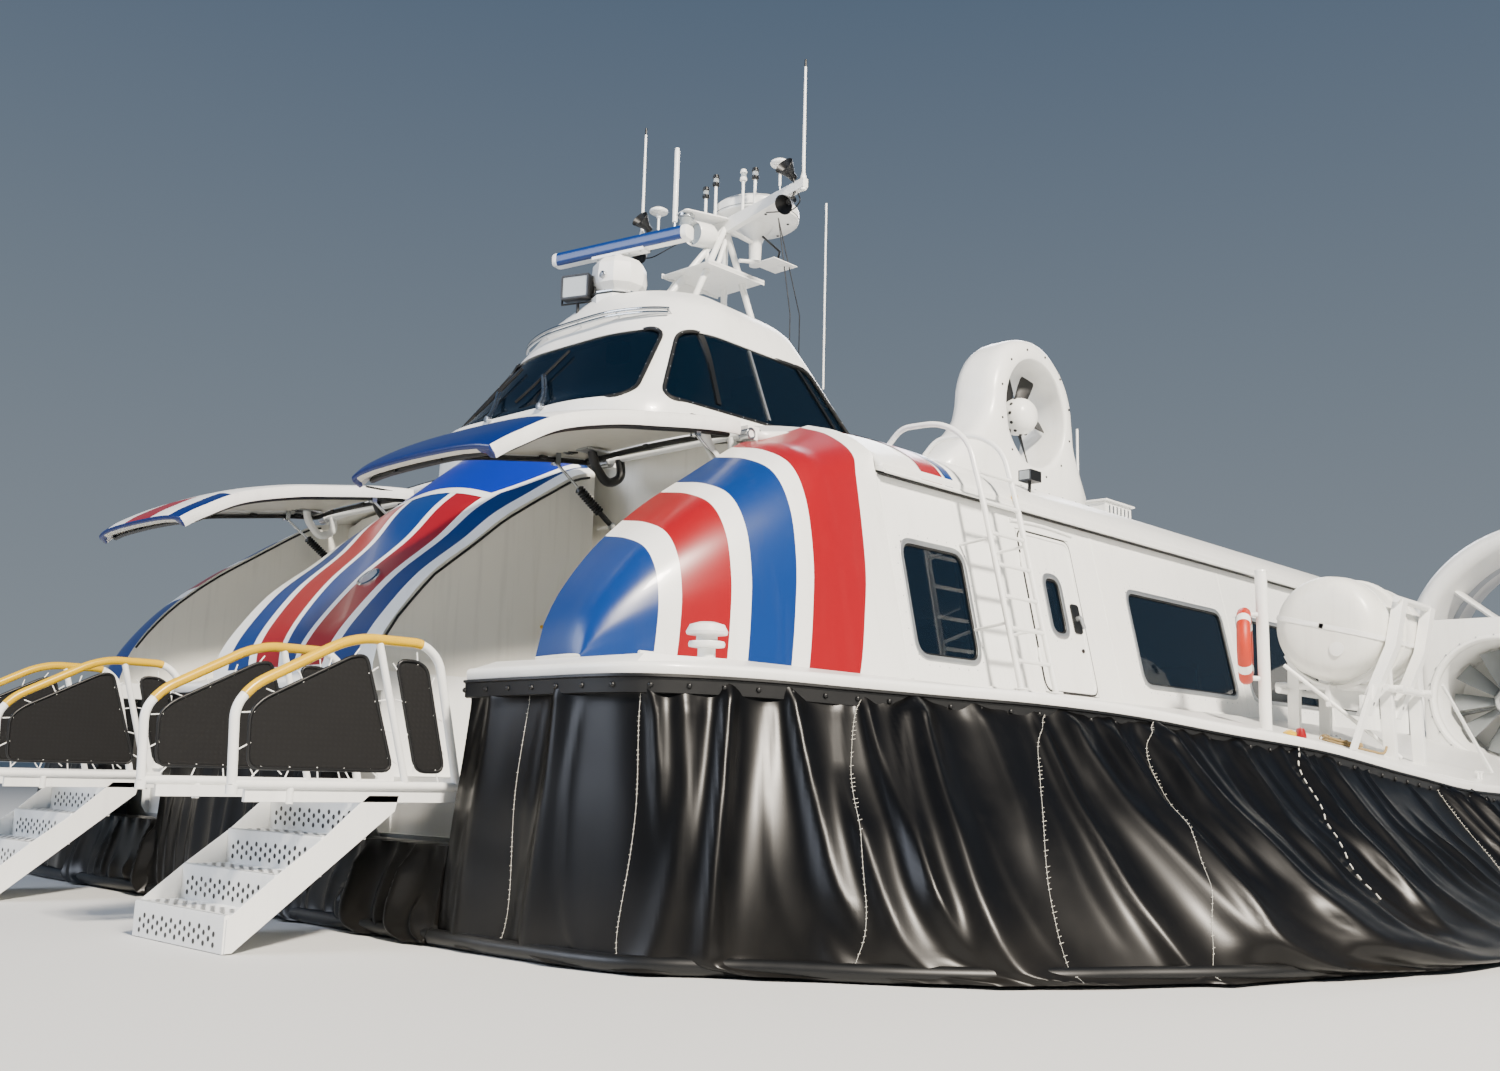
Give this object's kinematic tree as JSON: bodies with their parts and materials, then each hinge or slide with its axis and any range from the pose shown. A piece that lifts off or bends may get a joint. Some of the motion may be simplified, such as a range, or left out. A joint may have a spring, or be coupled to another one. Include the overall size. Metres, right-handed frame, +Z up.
{
  "type": "hovercraft",
  "caption": "Passenger hovercraft parked on its skirt, with raised wheelhouse, ducted propellers, bow doors and boarding stairs.",
  "frame": {"origin": "on the ground under the middle of the craft's bounding box", "axes": "+X forward, +Y port, +Z up"},
  "size_m": [23.2838, 13.36, 7.88],
  "materials": {
    "white_paint": "gloss",
    "red_paint": "gloss",
    "blue_paint": "gloss",
    "deep_blue_paint": "gloss",
    "grey_paint": "satin",
    "black_paint": "satin",
    "yellow_paint": "gloss",
    "skirt_rubber": "satin",
    "black_rubber": "matte",
    "blade_black": "satin",
    "steel": "brushed",
    "aluminium": "satin",
    "chrome": "polished",
    "glass": "polished",
    "lamp_glass": "polished",
    "cabin_lining": "satin",
    "dark_plastic": "matte",
    "gloss_white_plastic": "gloss",
    "orange_plastic": "satin",
    "seat_fabric": "woven",
    "mesh_fabric": "woven",
    "rope": "woven"
  },
  "bodies": {
    "hull": {"hull": "white_paint", "skirt_port": "skirt_rubber", "skirt_starboard": "skirt_rubber", "skirt_bow": "skirt_rubber", "skirt_stern": "skirt_rubber", "cabin_side_port": "white_paint", "cabin_side_starboard": "white_paint", "cabin_roof": "white_paint", "cabin_rear_wall": "white_paint", "cabin_front_wall": "cabin_lining", "bow_nose": "white_paint", "bow_cheek_port": "white_paint", "bow_cheek_starboard": "white_paint", "wheelhouse": "white_paint", "wheelhouse_glass": "glass", "cabin_seats": "seat_fabric", "wheelhouse_seats": "dark_plastic", "radar_gearbox": "white_paint", "mast": "white_paint", "thruster_port": "white_paint", "thruster_starboard": "white_paint", "side_ladder": "white_paint", "liferaft_port": "gloss_white_plastic", "liferaft_starboard": "gloss_white_plastic", "raft_cradle_port": "white_paint", "raft_cradle_starboard": "white_paint", "engine_module_port": "white_paint", "engine_module_starboard": "white_paint", "engine_port": "steel", "engine_starboard": "steel", "propeller_duct_port": "white_paint", "propeller_duct_starboard": "white_paint"},
    "cabin_door_port": {"cabin_door_port": "white_paint"},
    "bay_door_port": {"bay_door_port": "white_paint"},
    "bow_door_port": {"bow_door_port": "white_paint"},
    "strut_barrels_port": {"strut_barrel_port_inner": "blade_black", "strut_barrel_port_outer": "blade_black"},
    "strut_rods_port": {"strut_rod_port_inner": "steel", "strut_rod_port_outer": "steel"},
    "boarding_stairs_port": {"boarding_stairs_port": "white_paint"},
    "thruster_fan_port": {"thruster_fan_port": "blade_black"},
    "lift_fan_port": {"lift_fan_port": "steel"},
    "propeller_port": {"propeller_port": "blade_black"},
    "rudder_port_inner": {"rudder_port_inner": "red_paint"},
    "rudder_port_outer": {"rudder_port_outer": "red_paint"},
    "cabin_door_starboard": {"cabin_door_starboard": "white_paint"},
    "bay_door_starboard": {"bay_door_starboard": "white_paint"},
    "bow_door_starboard": {"bow_door_starboard": "white_paint"},
    "strut_barrels_starboard": {"strut_barrel_starboard_inner": "blade_black", "strut_barrel_starboard_outer": "blade_black"},
    "strut_rods_starboard": {"strut_rod_starboard_inner": "steel", "strut_rod_starboard_outer": "steel"},
    "boarding_stairs_starboard": {"boarding_stairs_starboard": "white_paint"},
    "thruster_fan_starboard": {"thruster_fan_starboard": "blade_black"},
    "lift_fan_starboard": {"lift_fan_starboard": "steel"},
    "propeller_starboard": {"propeller_starboard": "blade_black"},
    "rudder_starboard_inner": {"rudder_starboard_inner": "red_paint"},
    "rudder_starboard_outer": {"rudder_starboard_outer": "red_paint"},
    "radar_scanner": {"radar_scanner": "blue_paint"}
  },
  "joints": [
    {"name": "cabin_door_port_swing", "type": "hinge", "parent": "hull", "child": "cabin_door_port", "pos_m": [5.97, 3.71976, 2.3], "axis": [0, 0.205, -0.9788], "range_deg": [0, 110]},
    {"name": "bay_door_port_swing", "type": "hinge", "parent": "hull", "child": "bay_door_port", "pos_m": [8.006, 2.346, 2], "axis": [0, 0, 1], "range_deg": [0, 95]},
    {"name": "bow_door_port_close", "type": "hinge", "parent": "hull", "child": "bow_door_port", "pos_m": [8.3, 2.1, 3.38], "axis": [0, 1, 0], "range_deg": [0, 27]},
    {"name": "strut_barrels_port_tilt", "type": "hinge", "parent": "hull", "child": "strut_barrels_port", "pos_m": [8.15, 2.025, 2.9], "axis": [0, 1, 0], "range_deg": [0, 13]},
    {"name": "strut_rods_port_slide", "type": "slide", "parent": "strut_barrels_port", "child": "strut_rods_port", "axis": [0.8212, 0, 0.5707], "range_m": [-0.18, 0]},
    {"name": "boarding_stairs_port_lift", "type": "hinge", "parent": "hull", "child": "boarding_stairs_port", "pos_m": [9.96, 1.745, 0.825], "axis": [0, -1, 0], "range_deg": [0, 18]},
    {"name": "thruster_fan_port_spin", "type": "hinge", "parent": "hull", "child": "thruster_fan_port", "pos_m": [4.25, 2.48, 4.4], "axis": [0, 1, 0], "continuous": true},
    {"name": "lift_fan_port_spin", "type": "hinge", "parent": "hull", "child": "lift_fan_port", "pos_m": [-2.15, 4.92, 2.04], "axis": [1, 0, 0], "continuous": true},
    {"name": "propeller_port_spin", "type": "hinge", "parent": "hull", "child": "propeller_port", "pos_m": [-9.05, 3.95, 3], "axis": [1, 0, 0], "continuous": true},
    {"name": "rudder_port_inner_turn", "type": "hinge", "parent": "hull", "child": "rudder_port_inner", "pos_m": [-10.23, 3.25, 3], "axis": [0, 0, 1], "range_deg": [-30, 30]},
    {"name": "rudder_port_outer_turn", "type": "hinge", "parent": "hull", "child": "rudder_port_outer", "pos_m": [-10.23, 4.65, 3], "axis": [0, 0, 1], "range_deg": [-30, 30]},
    {"name": "cabin_door_starboard_swing", "type": "hinge", "parent": "hull", "child": "cabin_door_starboard", "pos_m": [5.97, -3.71976, 2.3], "axis": [0, 0.205, 0.9788], "range_deg": [0, 110]},
    {"name": "bay_door_starboard_swing", "type": "hinge", "parent": "hull", "child": "bay_door_starboard", "pos_m": [8.006, -2.346, 2], "axis": [0, 0, -1], "range_deg": [0, 95]},
    {"name": "bow_door_starboard_close", "type": "hinge", "parent": "hull", "child": "bow_door_starboard", "pos_m": [8.3, -2.1, 3.38], "axis": [0, 1, 0], "range_deg": [0, 27]},
    {"name": "strut_barrels_starboard_tilt", "type": "hinge", "parent": "hull", "child": "strut_barrels_starboard", "pos_m": [8.15, -2.025, 2.9], "axis": [0, 1, 0], "range_deg": [0, 13]},
    {"name": "strut_rods_starboard_slide", "type": "slide", "parent": "strut_barrels_starboard", "child": "strut_rods_starboard", "axis": [0.8212, 0, 0.5707], "range_m": [-0.18, 0]},
    {"name": "boarding_stairs_starboard_lift", "type": "hinge", "parent": "hull", "child": "boarding_stairs_starboard", "pos_m": [9.96, -1.745, 0.825], "axis": [0, -1, 0], "range_deg": [0, 18]},
    {"name": "thruster_fan_starboard_spin", "type": "hinge", "parent": "hull", "child": "thruster_fan_starboard", "pos_m": [4.25, -2.48, 4.4], "axis": [0, -1, 0], "continuous": true},
    {"name": "lift_fan_starboard_spin", "type": "hinge", "parent": "hull", "child": "lift_fan_starboard", "pos_m": [-2.15, -4.92, 2.04], "axis": [1, 0, 0], "continuous": true},
    {"name": "propeller_starboard_spin", "type": "hinge", "parent": "hull", "child": "propeller_starboard", "pos_m": [-9.05, -3.95, 3], "axis": [1, 0, 0], "continuous": true},
    {"name": "rudder_starboard_inner_turn", "type": "hinge", "parent": "hull", "child": "rudder_starboard_inner", "pos_m": [-10.23, -3.25, 3], "axis": [0, 0, 1], "range_deg": [-30, 30]},
    {"name": "rudder_starboard_outer_turn", "type": "hinge", "parent": "hull", "child": "rudder_starboard_outer", "pos_m": [-10.23, -4.65, 3], "axis": [0, 0, 1], "range_deg": [-30, 30]},
    {"name": "radar_scanner_spin", "type": "hinge", "parent": "hull", "child": "radar_scanner", "pos_m": [7.085, 0, 5.8], "axis": [0, 0, 1], "continuous": true}
  ],
  "couplings": [
    {"joint": "strut_barrels_port_tilt", "follows": "bow_door_port_close", "ratio": 0.44},
    {"joint": "strut_rods_port_slide", "follows": "bow_door_port_close", "m_per_rad": -0.342},
    {"joint": "rudder_port_outer_turn", "follows": "rudder_port_inner_turn", "ratio": 1},
    {"joint": "strut_barrels_starboard_tilt", "follows": "bow_door_starboard_close", "ratio": 0.44},
    {"joint": "strut_rods_starboard_slide", "follows": "bow_door_starboard_close", "m_per_rad": -0.342},
    {"joint": "rudder_starboard_outer_turn", "follows": "rudder_starboard_inner_turn", "ratio": 1}
  ]
}
